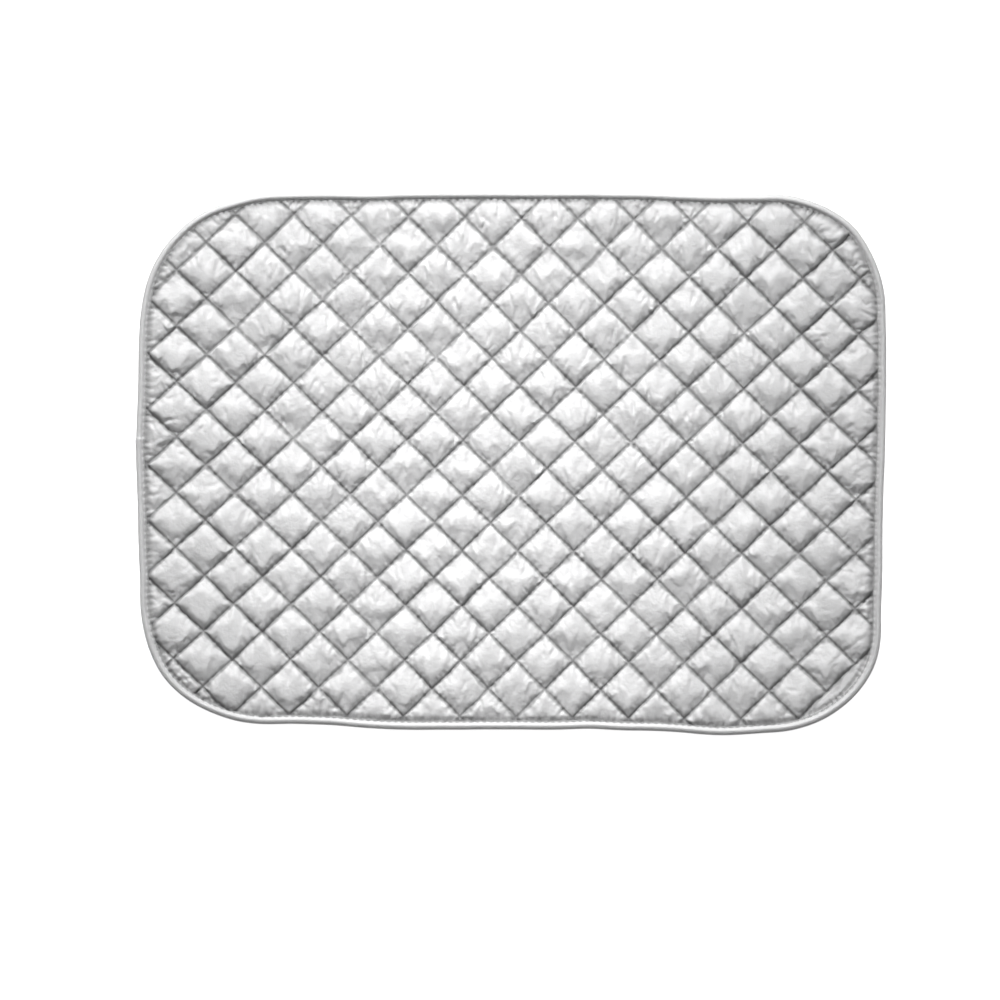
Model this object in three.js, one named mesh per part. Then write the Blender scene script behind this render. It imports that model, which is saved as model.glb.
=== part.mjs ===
// Portable ironing mat: a quilted pad with a bound edge, lying flat on a table.
// Millimetres. +X runs along the length, +Y towards the back edge, +Z up.
// The origin is at the centre of the underside.

import * as THREE from "three";
import { mergeVertices } from "three/addons/utils/BufferGeometryUtils.js";

// Outline of the mat, seen from above
const matLength = 700;
const matWidth = 505;
const frontLeftRadius = 130;
const frontRightRadius = 106;
const backRightRadius = 108;
const backLeftRadius = 125;
const cornerSteps = 6;

// Quilting: two families of straight seams, each offset measured from the centre of the mat.
// A puff that the tape cuts short rises less, and one under the flat share stays flat.
const seamPitch = 37;
const risingSeamAngle = 43.75;
const risingSeamOffset = 9.2;
const fallingSeamAngle = -45;
const fallingSeamOffset = -18.6;
const shortestSeam = 30;
const puffHeight = 4.5;
const flatPuffShare = 0.22;

// Layers of the pad, and the gap between one layer and the next
const coverThickness = 0.5;
const pressedWaddingThickness = 0.5;
const backingThickness = 0.5;
const layerGap = 0.3;
const rimToleranceShare = 0.001;

// The pad's margin under the tape is pressed lower than the seams, and its underside steps up
const marginDrop = 0.1;
const backingStepWidth = 2;

// Sewing threads
const quiltingThreadDiameter = 0.4;
const bindingThreadDiameter = 0.4;
const threadSides = 6;
const threadClearance = 0.15;

// Edge binding: one tape folded round the edge, its seam sunk in a pressed channel on each leaf
const tapeWidth = 8.2;
const tapeUnderSeam = 0.45;
const bindingSeamMargin = 1.8;
const foldRadiusShare = 0.4;
const foldSteps = 3;
const tapeEdgeShare = 0.35;

// Tape and its channels
const channelDepth = bindingThreadDiameter + threadClearance;
const channelWidth = bindingThreadDiameter + 2 * threadClearance;
const tapeThickness = tapeUnderSeam + channelDepth;
const bindingSeamInset = tapeWidth - bindingSeamMargin;

// Heights from the table up
const marginBackingBottom = tapeThickness + layerGap;
const marginWaddingBottom = marginBackingBottom + backingThickness + layerGap;
const marginCoverBottom = marginWaddingBottom + pressedWaddingThickness + layerGap;
const marginTop = marginCoverBottom + coverThickness;
const seamTop = marginTop + marginDrop;
const tapeTop = marginTop + layerGap + tapeThickness;

// Insets from the outer edge of the tape
const padInset = tapeThickness + layerGap;
const marginInset = tapeWidth + layerGap;

const metallisedCloth = new THREE.MeshStandardMaterial({
  color: 0xdcdddf,
  roughness: 0.42,
  metalness: 0.55,
});
const waddingFleece = new THREE.MeshStandardMaterial({
  color: 0xf1efe8,
  roughness: 0.95,
  metalness: 0,
});
const backingCloth = new THREE.MeshStandardMaterial({
  color: 0xc9cacc,
  roughness: 0.85,
  metalness: 0,
});
const bindingTape = new THREE.MeshStandardMaterial({
  color: 0xe3e4e6,
  roughness: 0.55,
  metalness: 0.3,
});
const sewingThread = new THREE.MeshStandardMaterial({
  color: 0xb9babd,
  roughness: 0.7,
  metalness: 0,
});

// Corners anticlockwise from the front right: the sides that they lie on, radius, first direction
const corners = [
  { x: 1, y: -1, radius: frontRightRadius, start: -Math.PI / 2 },
  { x: 1, y: 1, radius: backRightRadius, start: 0 },
  { x: -1, y: 1, radius: backLeftRadius, start: Math.PI / 2 },
  { x: -1, y: -1, radius: frontLeftRadius, start: Math.PI },
];

// Points round the outline: each keeps its corner's centre, so that an inset ring is exact
const stations = corners.flatMap((corner) => {
  const centre = new THREE.Vector2(
    corner.x * (matLength / 2 - corner.radius),
    corner.y * (matWidth / 2 - corner.radius),
  );
  return Array.from({ length: cornerSteps + 1 }, (_, step) => {
    const angle = corner.start + (step / cornerSteps) * (Math.PI / 2);
    const outward = new THREE.Vector2(Math.cos(angle), Math.sin(angle));
    return { centre, outward, radius: corner.radius };
  });
});

function insetRing(inset) {
  return stations.map(({ centre, outward, radius }) =>
    centre.clone().addScaledVector(outward, radius - inset),
  );
}

// The sides of a closed ring, each with its two ends and its number
function sidesOf(ring) {
  return ring.map((from, index) => ({ from, to: ring[(index + 1) % ring.length], index }));
}

function raised(point, height) {
  return new THREE.Vector3(point.x, point.y, height);
}

// Faces are kept as a list of corners, three to a triangle, anticlockwise seen from outside
function flipped(faces) {
  return faces.slice().reverse();
}

// A fan of triangles over a convex ring of corners, from its middle or from its first corner
function fanFaces(ring, middle) {
  if (middle) return sidesOf(ring).flatMap(({ from, to }) => [middle, from, to]);
  return ring.slice(2).flatMap((to, index) => [ring[0], ring[index + 1], to]);
}

// A profile of [inset, height] points carried round the outline, going up on its outer side
function sweptFaces(profile) {
  return profile.slice(1).flatMap((upper, row) => {
    const lower = profile[row];
    const below = sidesOf(insetRing(lower[0]));
    const above = sidesOf(insetRing(upper[0]));
    return below.flatMap(({ from, to }, side) => {
      const corner = [raised(from, lower[1]), raised(to, lower[1])];
      const opposite = [raised(above[side].from, upper[1]), raised(above[side].to, upper[1])];
      return [corner[0], corner[1], opposite[1], corner[0], opposite[1], opposite[0]];
    });
  });
}

function capFaces(inset, height) {
  const ring = insetRing(inset).map((point) => raised(point, height));
  return fanFaces(ring, new THREE.Vector3(0, 0, height));
}

function joined(faces) {
  return mergeVertices(new THREE.BufferGeometry().setFromPoints(faces));
}

// A family of parallel seams: their direction, the direction across them, and where they lie
function seamFamily(degrees, offset) {
  const angle = THREE.MathUtils.degToRad(degrees);
  const along = new THREE.Vector2(Math.cos(angle), Math.sin(angle));
  const across = new THREE.Vector2(-Math.sin(angle), Math.cos(angle));
  const reaches = insetRing(0).map((point) => (point.dot(across) - offset) / seamPitch);
  const first = Math.floor(Math.min(...reaches));
  const count = Math.ceil(Math.max(...reaches)) - first;
  const places = Array.from({ length: count + 1 }, (_, k) => offset + (first + k) * seamPitch);
  return { along, across, places };
}

const rising = seamFamily(risingSeamAngle, risingSeamOffset);
const falling = seamFamily(fallingSeamAngle, fallingSeamOffset);

// Where a seam of the rising family crosses one of the falling family
function crossing(risingPlace, fallingPlace) {
  const scale = rising.across.cross(falling.across);
  return new THREE.Vector2(
    (risingPlace * falling.across.y - fallingPlace * rising.across.y) / scale,
    (fallingPlace * rising.across.x - risingPlace * falling.across.x) / scale,
  );
}

// How far a point lies inside the line through a side of a ring
function insideBy(point, side) {
  const along = side.to.clone().sub(side.from).normalize();
  return along.cross(point.clone().sub(side.from));
}

// The part of a convex polygon that lies inside a convex ring
function clipped(polygon, ring) {
  return sidesOf(ring).reduce(
    (kept, side) =>
      sidesOf(kept).flatMap(({ from, to }) => {
        const fromInside = insideBy(from, side);
        const toInside = insideBy(to, side);
        const points = fromInside >= 0 ? [from] : [];
        if (fromInside >= 0 !== toInside >= 0) {
          points.push(from.clone().lerp(to, fromInside / (fromInside - toInside)));
        }
        return points;
      }),
    polygon,
  );
}

// The quilted surface, lowered by drop: one low puff to each cell between the seams, and the
// pressed margin from the cells out to the edge of the pad
function quiltedFaces(drop) {
  const rim = insetRing(marginInset);
  const edge = insetRing(padInset).map((point) => raised(point, marginTop - drop));
  const tolerance = rimToleranceShare * layerGap;
  const onRim = (point) => sidesOf(rim).filter((side) => insideBy(point, side) < tolerance);
  const marginFaces = sidesOf(rim).flatMap(({ to, index }) => {
    const outer = edge[index];
    const outerNext = edge[(index + 1) % edge.length];
    return [outer, outerNext, raised(to, marginTop - drop)];
  });
  const cellFaces = rising.places.slice(1).flatMap((upper, row) =>
    falling.places.slice(1).flatMap((right, column) => {
      const lower = rising.places[row];
      const left = falling.places[column];
      const cell = [
        crossing(lower, left),
        crossing(lower, right),
        crossing(upper, right),
        crossing(upper, left),
      ];
      const polygon = clipped(cell, rim);
      if (polygon.length < 3) return [];
      const share = THREE.ShapeUtils.area(polygon) / THREE.ShapeUtils.area(cell);
      const ring = polygon.map((point) =>
        raised(point, (onRim(point).length ? marginTop : seamTop) - drop),
      );
      const middle = ring.reduce((sum, point) => sum.add(point), new THREE.Vector3());
      middle.divideScalar(ring.length).setZ(seamTop + puffHeight * Math.sqrt(share) - drop);
      const toEdge = sidesOf(polygon).flatMap(({ from, to, index }) => {
        const shared = onRim(from).find((side) => onRim(to).some((s) => s.index === side.index));
        return shared
          ? [ring[(index + 1) % ring.length], ring[index], edge[shared.index]]
          : [];
      });
      return [...fanFaces(ring, share < flatPuffShare ? null : middle), ...toEdge];
    }),
  );
  return [...marginFaces, ...cellFaces];
}

// The underside of a layer, from the middle out: it steps up over the lower leaf of the tape
function underProfile(height) {
  return [
    [marginInset + backingStepWidth, height],
    [marginInset, marginBackingBottom + height],
    [padInset, marginBackingBottom + height],
  ];
}

function backCoverGeometry() {
  const bottom = underProfile(0);
  const top = underProfile(backingThickness).reverse();
  return joined([
    ...flipped(capFaces(...bottom[0])),
    ...sweptFaces([...bottom, ...top]),
    ...capFaces(...top[top.length - 1]),
  ]);
}

function waddingGeometry() {
  const bottom = underProfile(backingThickness + layerGap);
  const drop = coverThickness + layerGap;
  return joined([
    ...flipped(capFaces(...bottom[0])),
    ...sweptFaces([...bottom, [padInset, marginTop - drop]]),
    ...quiltedFaces(drop),
  ]);
}

function topCoverGeometry() {
  return joined([
    ...flipped(quiltedFaces(coverThickness)),
    ...sweptFaces([
      [padInset, marginCoverBottom],
      [padInset, marginTop],
    ]),
    ...quiltedFaces(0),
  ]);
}

// Points of an arc in the profile's plane, from one angle to another in degrees
function arcPoints(inset, height, radius, from, to, steps) {
  return Array.from({ length: steps + 1 }, (_, step) => {
    const angle = THREE.MathUtils.degToRad(from + ((to - from) * step) / steps);
    return [inset - radius * Math.cos(angle), height + radius * Math.sin(angle)];
  });
}

// The tape in section: a lower leaf, a fold round the edge of the pad and an upper leaf
function edgeBindingGeometry() {
  const channelOuter = bindingSeamInset - channelWidth / 2;
  const channelInner = bindingSeamInset + channelWidth / 2;
  const foldRadius = foldRadiusShare * tapeTop;
  const edgeRadius = tapeEdgeShare * tapeThickness;
  const upperInside = tapeTop - tapeThickness;
  const section = [
    [tapeWidth - edgeRadius, 0],
    [channelInner, 0],
    [channelInner, channelDepth],
    [channelOuter, channelDepth],
    [channelOuter, 0],
    ...arcPoints(foldRadius, foldRadius, foldRadius, -90, 0, foldSteps),
    ...arcPoints(foldRadius, tapeTop - foldRadius, foldRadius, 0, 90, foldSteps),
    [channelOuter, tapeTop],
    [channelOuter, tapeTop - channelDepth],
    [channelInner, tapeTop - channelDepth],
    [channelInner, tapeTop],
    [tapeWidth - edgeRadius, tapeTop],
    [tapeWidth, tapeTop - edgeRadius],
    [tapeWidth, upperInside],
    [tapeThickness, upperInside],
    [tapeThickness, tapeThickness],
    [tapeWidth, tapeThickness],
    [tapeWidth, edgeRadius],
    [tapeWidth - edgeRadius, 0],
  ];
  return joined(sweptFaces(section));
}

// A thread that runs once round the mat in a channel of the tape
function bindingThreadGeometry(height) {
  const radius = bindingThreadDiameter / 2;
  return joined(sweptFaces(arcPoints(bindingSeamInset, height, radius, 0, 360, threadSides)));
}

// The two ends of the stretch of a seam that lies inside the tape, as distances along the seam
function seamSpan(family, place) {
  return sidesOf(insetRing(marginInset + threadClearance))
    .flatMap(({ from, to }) => {
      const before = from.dot(family.across) - place;
      const after = to.dot(family.across) - place;
      if (before > 0 === after > 0) return [];
      return [from.clone().lerp(to, before / (before - after)).dot(family.along)];
    })
    .sort((a, b) => a - b);
}

// One run of quilting thread, laid straight along its seam
function quiltingThread(family, place, [from, to], height) {
  const radius = quiltingThreadDiameter / 2;
  const shape = new THREE.CylinderGeometry(radius, radius, to - from, threadSides);
  const thread = new THREE.Mesh(shape, sewingThread);
  const middle = family.along.clone().multiplyScalar((from + to) / 2);
  middle.addScaledVector(family.across, place);
  thread.position.set(middle.x, middle.y, height);
  thread.rotation.z = family.along.angle() - Math.PI / 2;
  return thread;
}

// All the runs of one family, numbered across the mat
function quiltingThreads(label, family, height) {
  const threads = new THREE.Group();
  for (const place of family.places) {
    const span = seamSpan(family, place);
    if (span.length === 2 && span[1] - span[0] > shortestSeam) {
      const thread = quiltingThread(family, place, span, height);
      const number = String(threads.children.length + 1).padStart(2, "0");
      thread.name = `quilting_thread_${label}_${number}`;
      threads.add(thread);
    }
  }
  return threads;
}

function namedMesh(name, geometry, material) {
  const mesh = new THREE.Mesh(geometry, material);
  mesh.name = name;
  return mesh;
}

const bobbinHeight = channelDepth - threadClearance - bindingThreadDiameter / 2;
const risingHeight = seamTop + threadClearance + quiltingThreadDiameter / 2;
const fallingHeight = risingHeight + quiltingThreadDiameter + threadClearance;
const bobbinThread = bindingThreadGeometry(bobbinHeight);
const needleThread = bindingThreadGeometry(tapeTop - bobbinHeight);

const mat = new THREE.Group();
mat.add(namedMesh("back_cover", backCoverGeometry(), backingCloth));
mat.add(namedMesh("wadding", waddingGeometry(), waddingFleece));
mat.add(namedMesh("top_cover", topCoverGeometry(), metallisedCloth));
mat.add(namedMesh("edge_binding", edgeBindingGeometry(), bindingTape));
mat.add(namedMesh("binding_needle_thread", needleThread, sewingThread));
mat.add(namedMesh("binding_bobbin_thread", bobbinThread, sewingThread));
mat.add(quiltingThreads("rising", rising, risingHeight));
mat.add(quiltingThreads("falling", falling, fallingHeight));

export default mat;
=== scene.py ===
# Portable ironing mat: a quilted silver pad with a bound edge, lying flat and seen from above.
# Metres, +X to the right, +Y to the back edge, +Z up, the underside at zero.

import math

import bmesh
import bpy
import numpy as np
from mathutils import Matrix, Vector, noise
from mathutils.bvhtree import BVHTree
from mathutils.kdtree import KDTree


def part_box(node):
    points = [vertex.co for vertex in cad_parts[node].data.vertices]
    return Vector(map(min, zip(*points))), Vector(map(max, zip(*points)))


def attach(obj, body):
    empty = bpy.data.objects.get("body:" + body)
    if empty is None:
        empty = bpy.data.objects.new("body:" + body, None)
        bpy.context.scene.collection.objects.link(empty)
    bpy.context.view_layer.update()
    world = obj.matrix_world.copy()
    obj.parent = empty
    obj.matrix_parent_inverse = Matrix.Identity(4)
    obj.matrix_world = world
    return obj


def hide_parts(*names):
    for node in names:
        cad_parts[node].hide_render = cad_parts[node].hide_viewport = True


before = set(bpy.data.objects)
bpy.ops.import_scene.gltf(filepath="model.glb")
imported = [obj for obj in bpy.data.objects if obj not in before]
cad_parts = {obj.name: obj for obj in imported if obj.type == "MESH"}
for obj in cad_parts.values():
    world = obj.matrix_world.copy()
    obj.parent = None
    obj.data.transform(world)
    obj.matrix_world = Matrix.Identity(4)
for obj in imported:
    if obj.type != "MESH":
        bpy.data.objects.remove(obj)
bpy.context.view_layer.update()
tapeLow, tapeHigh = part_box("edge_binding")
print("frame loaded:", len(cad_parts), "CAD nodes")


# Small helpers

def readPoints(mesh):
    points = np.empty(len(mesh.vertices) * 3, dtype=np.float32)
    mesh.vertices.foreach_get("co", points)
    return points.reshape(-1, 3).astype(float)


def writePoints(mesh, points):
    mesh.vertices.foreach_set("co", np.asarray(points, dtype=np.float32).ravel())
    mesh.update()


def readValues(mesh, name):
    values = np.empty(len(mesh.vertices), dtype=np.float32)
    mesh.attributes[name].data.foreach_get("value", values)
    return values.astype(float)


def writeValues(mesh, name, values):
    if name not in mesh.attributes:
        mesh.attributes.new(name, "FLOAT", "POINT")
    mesh.attributes[name].data.foreach_set("value", np.asarray(values, dtype=np.float32))


def smoothStep(low, high, values):
    share = np.clip((values - low) / (high - low), 0, 1)
    return share * share * (3 - 2 * share)


# brings the noise from about -0.6 to 0.6 up to about -1 to 1
cloudGain = 1.6


# Blobs of a length over the mat, from about -1 to 1 at each point
def cloud(x, y, length, seed):
    blobs = [noise.noise(Vector((a / length, b / length, seed))) for a, b in zip(x, y)]
    return cloudGain * np.array(blobs)


# Ripples of a length over the mat, from about -0.6 to 0.6 at each point
def ripplesOver(x, y, length):
    return np.array([noise.noise(Vector((a, b, 0)) / length) for a, b in zip(x, y)])


# Waves of a length along a way, from about -0.6 to 0.6
def wavesAlong(way, length, seed):
    return np.array([noise.noise(Vector((step / length, seed, 0))) for step in way])


def openMesh(mesh):
    bm = bmesh.new()
    bm.from_mesh(mesh)
    return bm


def closeMesh(bm, mesh):
    bm.to_mesh(mesh)
    bm.free()


# A flat square grid, with the number of faces each way and half its width
def gridMesh(name, facesX, facesY, half=0.5):
    bm, mesh = bmesh.new(), bpy.data.meshes.new(name)
    bmesh.ops.create_grid(bm, x_segments=facesX, y_segments=facesY, size=half)
    closeMesh(bm, mesh)
    return mesh


def putInScene(name, mesh):
    piece = bpy.data.objects.new(name, mesh)
    bpy.context.scene.collection.objects.link(piece)
    return piece


# The mesh that a piece's modifiers make, with the piece itself taken away
def bakedMesh(piece):
    bpy.context.view_layer.update()
    graph = bpy.context.evaluated_depsgraph_get()
    baked = bpy.data.meshes.new_from_object(piece.evaluated_get(graph), depsgraph=graph)
    bpy.data.objects.remove(piece)
    return baked


def finishPiece(piece, material, replaced):
    piece.data.materials.clear()
    piece.data.materials.append(material)
    piece.data.shade_smooth()
    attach(piece, "root")
    if replaced:
        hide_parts(*replaced)


# The outline of the mat

edgeSettings = {
    # side in X, side in Y, radius
    "corners": ((1, -1, 0.106), (1, 1, 0.108), (-1, 1, 0.125), (-1, -1, 0.130)),
    "spacing": 0.002,
    # stretches where the sewn edge runs out of true: degrees round the mat, half width, mm
    "wander": (
        (-161, 6, -2.3), (-147, 5, 2.3), (-129, 11, -6.5), (-92, 30, -1.6), (-74, 4, -1.2),
        (-52, 6, 3.8), (-23, 4.5, -3.0), (-13, 11, -2.8), (14, 10, 1.4), (35, 4, 2.0),
        (51, 9, -2.4), (90, 52, 2.8), (118, 4, -1.0), (136, 4, -2.3), (157, 5, -1.8),
        (178, 6, 1.8),
    ),
    "ripple": 0.0003,
    "rippleLength": 0.03,
}
halfLength = (tapeHigh.x - tapeLow.x) / 2
halfWidth = (tapeHigh.y - tapeLow.y) / 2
# what grows towards the ends or the sides is 1 here
reachX, reachY = 0.35, 0.25


def wanderAt(x, y):
    degrees = np.degrees(np.arctan2(y, x))
    total = np.zeros_like(degrees)
    for centre, width, millimetres in edgeSettings["wander"]:
        apart = (degrees - centre + 180) % 360 - 180
        total += millimetres * 0.001 * np.exp(-((apart / width) ** 2))
    return total


# How far inside the outer edge of the mat each point lies
def insetAt(x, y):
    inset = np.zeros_like(x)
    for sideX, sideY, radius in edgeSettings["corners"]:
        here = ((x >= 0) == (sideX > 0)) & ((y >= 0) == (sideY > 0))
        overX = np.abs(x[here]) - (halfLength - radius)
        overY = np.abs(y[here]) - (halfWidth - radius)
        outside = np.hypot(np.maximum(overX, 0), np.maximum(overY, 0))
        inset[here] = radius - outside - np.minimum(np.maximum(overX, overY), 0)
    return inset + wanderAt(x, y)


# Points round the edge, anticlockwise, with the outward direction and the way gone at each
def walkEdge():
    points, outward = [], []
    spacing = edgeSettings["spacing"]
    for number, (sideX, sideY, radius) in enumerate(edgeSettings["corners"]):
        centre = np.array((sideX * (halfLength - radius), sideY * (halfWidth - radius)))
        start = math.radians(-90 + 90 * number)
        steps = round(radius * math.pi / 2 / spacing)
        for step in range(steps + 1):
            turn = start + math.pi / 2 * step / steps
            direction = np.array((math.cos(turn), math.sin(turn)))
            points.append(centre + radius * direction)
            outward.append(direction)
        nextX, nextY, nextRadius = edgeSettings["corners"][(number + 1) % 4]
        after = np.array((nextX * (halfLength - nextRadius), nextY * (halfWidth - nextRadius)))
        after = after + nextRadius * direction
        straight = np.linalg.norm(after - points[-1])
        steps = round(straight / spacing)
        first = points[-1]
        for step in range(1, steps):
            points.append(first + (after - first) * step / steps)
            outward.append(direction)
    points, outward = np.array(points), np.array(outward)
    wander = wanderAt(points[:, 0], points[:, 1])
    wander += edgeSettings["ripple"] * ripplesOver(*points.T, edgeSettings["rippleLength"])
    points = points + outward * wander[:, None]
    steps = np.linalg.norm(np.roll(points, -1, axis=0) - points, axis=1)
    return points, outward, np.concatenate(([0], np.cumsum(steps)))


edgePoints, edgeOutward, edgeWay = walkEdge()
edgeLength = edgeWay[-1]
edgeTree = KDTree(len(edgePoints))
for index, (x, y) in enumerate(edgePoints):
    edgeTree.insert((x, y, 0), index)
edgeTree.balance()
print("outline:", len(edgePoints), "points,", round(edgeLength, 3), "m round")


# The quilting seams, read off their threads

# Distance of each seam of a family from the centre, and the directions across and along it
def seamFamily(kind):
    boxes = [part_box(name) for name in sorted(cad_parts) if name.startswith(kind)]
    sign = 1 if kind.endswith("rising") else -1
    low, high = max(boxes, key=lambda box: (box[1] - box[0]).length)
    along = Vector((high.x - low.x, sign * (high.y - low.y))).normalized()
    across = Vector((-along.y, along.x))
    middles = [(low + high) / 2 for low, high in boxes]
    offsets = sorted(middle.xy.dot(across) for middle in middles)
    pitch = (offsets[-1] - offsets[0]) / (len(offsets) - 1)
    return {"across": across, "first": offsets[0], "pitch": pitch, "count": len(offsets)}


rising = seamFamily("quilting_thread_rising")
falling = seamFamily("quilting_thread_falling")
print("seams:", rising["count"], "rising,", falling["count"], "falling, pitch", rising["pitch"])

# The cloth shifts a little under the needle, in mm: the seams lean left at both ends, spread
# along the mat towards them, and shear a little towards the back
seamDrift = {
    "shift": 0.4, "lean": -3.1, "gather": -4.0, "spread": 6.5, "backShear": 2.0, "backSpread": 2.6,
    "shear": -1.4, "narrow": -0.7, "rise": 2.0, "widen": 2.8, "wobble": 0.45, "wobbleLength": 0.021,
    "seeds": (31, 47),
}


# The point where two seam places cross, with 0 for the first seam of its family
def layOnMat(risingPlace, fallingPlace):
    a, b = rising["across"], falling["across"]
    r = rising["first"] + rising["pitch"] * risingPlace
    f = falling["first"] + falling["pitch"] * fallingPlace
    cross = a.x * b.y - a.y * b.x
    x = (r * b.y - f * a.y) / cross
    y = (f * a.x - r * b.x) / cross
    drift, shareX, shareY = seamDrift, x / reachX, y / reachY
    alongX = drift["gather"] + drift["spread"] * shareX**2 + drift["lean"] * shareX
    alongX = alongX + drift["backShear"] * shareY + drift["backSpread"] * shareY**2
    alongY = drift["narrow"] + drift["rise"] * shareY + drift["widen"] * shareY**2
    driftX = drift["shift"] + alongX * shareX
    driftY = (alongY + drift["shear"] * shareX) * shareY
    driftX = driftX + drift["wobble"] * cloud(x, y, drift["wobbleLength"], drift["seeds"][0])
    driftY = driftY + drift["wobble"] * cloud(x, y, drift["wobbleLength"], drift["seeds"][1])
    return x + 0.001 * driftX, y + 0.001 * driftY


# a place this near to a seam's number lies on the seam
onLine = 1e-3


# How far a place lies from the nearest real seam of its family, in pitches
def seamGap(places, family):
    nearest = np.clip(np.round(places), 0, family["count"] - 1)
    return np.abs(places - nearest)


def cellOf(places, family):
    return np.clip(np.floor(places), -1, family["count"] - 1).astype(int)


# One number for each diamond of the quilt
def cellNumber(row, column):
    return (row + 1) * 100 + column + 1


# The places of a mesh's vertices among the rising and the falling seams
def placesOf(mesh):
    return readValues(mesh, "risingPlace"), readValues(mesh, "fallingPlace")


# A grid laid along the seams with facesPerCell faces to a side of each diamond, drawn closer
# together near the seams, and cut off at an inset from the edge of the mat
def quiltGrid(facesPerCell, pinch, rim):
    beyond = 2  # rows of diamonds past the first and past the last seam
    cells = max(rising["count"], falling["count"]) - 1 + 2 * beyond
    segments = cells * facesPerCell
    mesh = gridMesh("quilt", segments, segments)
    points = readPoints(mesh)
    steps = np.round((points[:, :2] + 0.5) * segments) / facesPerCell - beyond
    part = steps - np.floor(steps)
    places = steps - pinch * np.sin(2 * np.pi * part) / (2 * np.pi)
    x, y = layOnMat(places[:, 1], places[:, 0])
    writePoints(mesh, np.column_stack((x, y, np.zeros(len(x)))))
    writeValues(mesh, "fallingPlace", places[:, 0])
    writeValues(mesh, "risingPlace", places[:, 1])
    inside = insetAt(x, y) > rim
    bm = openMesh(mesh)
    outer = [face for face in bm.faces if not all(inside[v.index] for v in face.verts)]
    bmesh.ops.delete(bm, geom=outer, context="FACES")
    rimLayer = bm.verts.layers.float.new("rim")
    for vert in bm.verts:
        vert[rimLayer] = 1.0 if vert.is_boundary else 0.0
    closeMesh(bm, mesh)
    points = readPoints(mesh)
    onRim = readValues(mesh, "rim") > 0.5
    x, y = points[onRim, 0], points[onRim, 1]
    step = 0.0005
    for _ in range(2):
        inset = insetAt(x, y)
        slopeX = (insetAt(x + step, y) - insetAt(x - step, y)) / (2 * step)
        slopeY = (insetAt(x, y + step) - insetAt(x, y - step)) / (2 * step)
        x = x + slopeX * (rim - inset)
        y = y + slopeY * (rim - inset)
    points[onRim, 0], points[onRim, 1] = x, y
    writePoints(mesh, points)
    return mesh


# The quilted pad: cloth cut larger than its diamond, gathered by the seams and blown up

padSettings = {
    "facesPerCell": 18,
    "pinch": 0.25,
    "rim": 0.003,
    # the pad is flat from its rim to this inset, and the puffs come up over the fade past it
    "marginInset": 0.0086,
    "marginFade": 0.012,
    "seamHeight": 0.0030,
    "marginHeight": 0.0026,
    "crown": 0.002,
    "quickHeight": 0.0042,
    "highest": 0.0100,
    "easeFrom": 0.0078,
    "lowest": 0.0020,
    # how much too large each diamond is cut, how that varies, and how it is less at the front
    "slack": 0.058,
    "slackSpread": 0.4,
    "slackFromFront": (0.85, 0.3),
    "frontToBack": (-0.1, 0.15),
    "slackSeed": 11,
    # the slack's share in X and in Y: in the middle of the mat, and what the ends add
    "slackAlong": ((1.0, -0.7), (0.3, 0.7)),
    # from where to where in X the slack turns from along the mat to across it
    "endsFrom": (0.22, 0.33),
    "wrinkle": 0.0006,
    "wrinkleLength": 0.011,
    "seamSharpness": 0.7,
    # the filling stands up steeply beside a seam
    "fullRise": 0.0052,
    "fullness": 0.72,
    "plumpness": 1.36,
    "sunkSeam": 0.0024,
    # how much fuller the puffs are towards the ends and the front, and how unalike they are
    "fullerEnds": 0.30,
    "fullerFront": 0.12,
    "fullerCorners": 0.22,
    "unlike": ((0.20, 0.055), (0.14, 0.022)),
    # each puff has a lean and a ridge of its own, out of a table with this many to a side
    "mostCells": 64,
    "lean": 0.45,
    "leanForward": 0.12,
    "leanSeed": 23,
    # the ridge of a puff: its height, its place from -1 at the front corner to 1 at the back
    # one, how that place varies, and how round the ridge is
    "ridge": 0.42,
    "ridgePlace": -0.06,
    "ridgeSpread": 0.12,
    "ridgeRound": 0.2,
    "ridgeSeed": 29,
    "tongue": 0.004,
    "tongueLength": 0.0085,
    "tongueFade": 0.009,
    # the insets, past the flat margin, over which the filling and its unevenness come in
    "fillingFade": (-0.002, 0.003),
    "unevenFade": 0.01,
    # how far the seams sink more or less over the mat
    "sinkSpread": 0.0007,
    "sinkLength": 0.055,
    # unevenness of the filling: height and length of its lumps
    "lumps": ((0.0008, 0.015), (0.00020, 0.0062)),
    # small puckers drawn square to the seams
    "pucker": 0.0007,
    "puckerLength": 0.0040,
    "puckerReach": 0.0045,
    # how unevenly the painted shade lies along the seams: amount and length
    "unevenPaintedShade": (0.45, 0.012),
    # heights of the rim as it is carried down and under
    "tuckHeights": (0.0022, 0.0021, 0.0012),
    "tuckDepth": 0.003,
    # the plain strip past the first rising seam: where it starts in X, its slack and its filling
    # against the rest, and how much less painted shade it has beside the tape
    "plainFrom": 0.15,
    "plainSlack": 0.35,
    "plainFilling": 0.75,
    "stripPaintedShadeCut": 0.007,
    # the way up from its seam: short and steep, then long, and the way down to the tape
    "plainClimb": ((0.35, 0.003), (0.65, 0.016)),
    "plainFall": 0.005,
}
clothSettings = {
    "scale": 25,
    "gatherFrames": 10,
    "frames": 13,
    "solver": {
        "quality": 6, "mass": 0.01, "tension_stiffness": 40, "compression_stiffness": 40,
        "shear_stiffness": 40 / 3, "bending_stiffness": 0.1, "vertex_group_mass": "pins",
        "use_pressure": True, "uniform_pressure_force": 2.0,
    },
}


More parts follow.
